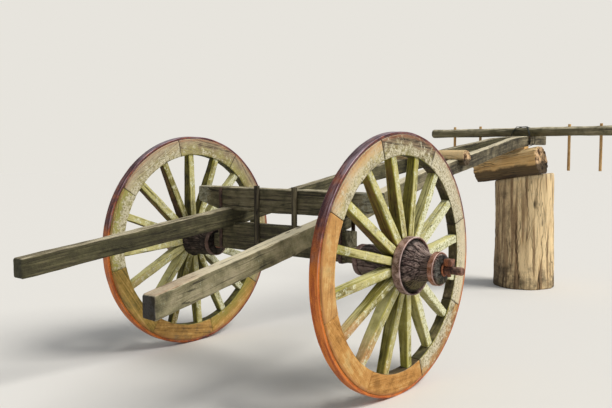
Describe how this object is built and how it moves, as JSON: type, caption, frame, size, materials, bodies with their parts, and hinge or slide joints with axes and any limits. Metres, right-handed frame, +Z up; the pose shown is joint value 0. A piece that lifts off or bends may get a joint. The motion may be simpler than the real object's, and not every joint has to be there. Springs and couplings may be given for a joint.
{
  "type": "bullock cart",
  "caption": "Wooden bullock cart: spoked, iron-tyred wheels on an axle beam, a bolster, and long shafts that meet under a yoke pole propped on a stump.",
  "frame": {"origin": "middle of the bounding box, on the ground", "axes": "+X forwards to the yoke, +Y to the cart's left, +Z up"},
  "size_m": [5.065, 2.344, 1.499],
  "materials": {
    "grey_timber": "weathered grey hardwood",
    "lichen_timber": "weathered hardwood with lichen",
    "dark_timber": "dark oiled hardwood, cracked",
    "raw_timber": "split and sawn logs",
    "rusted_iron": "rusted"
  },
  "bodies": {
    "frame": {"axle_beam": "grey_timber", "axle_bar": "rusted_iron", "bolster": "grey_timber", "shaft_right": "grey_timber", "shaft_left": "grey_timber", "binding_straps": "rusted_iron", "stakes": "grey_timber", "cross_bar": "raw_timber", "yoke_pole": "grey_timber", "neck_sticks": "raw_timber", "yoke_lashing": "rusted_iron", "packing_blocks": "raw_timber", "half_log": "raw_timber", "stump": "raw_timber", "washers": "rusted_iron", "linchpins": "rusted_iron"},
    "wheel_right": {"nave_right": "dark_timber", "bush_right": "rusted_iron", "nave_bands_right": "rusted_iron", "spokes_right": "lichen_timber", "felloes_right": "lichen_timber", "tyre_right": "rusted_iron"},
    "wheel_left": {"nave_left": "dark_timber", "bush_left": "rusted_iron", "nave_bands_left": "rusted_iron", "spokes_left": "lichen_timber", "felloes_left": "lichen_timber", "tyre_left": "rusted_iron"}
  },
  "joints": [
    {"name": "wheel_right_spin", "type": "hinge", "parent": "frame", "child": "wheel_right", "pos_m": [-1.1275, -0.804, 0.675], "axis": [0, 1, 0], "continuous": true},
    {"name": "wheel_left_spin", "type": "hinge", "parent": "frame", "child": "wheel_left", "pos_m": [-1.1275, 0.804, 0.675], "axis": [0, 1, 0], "continuous": true}
  ]
}
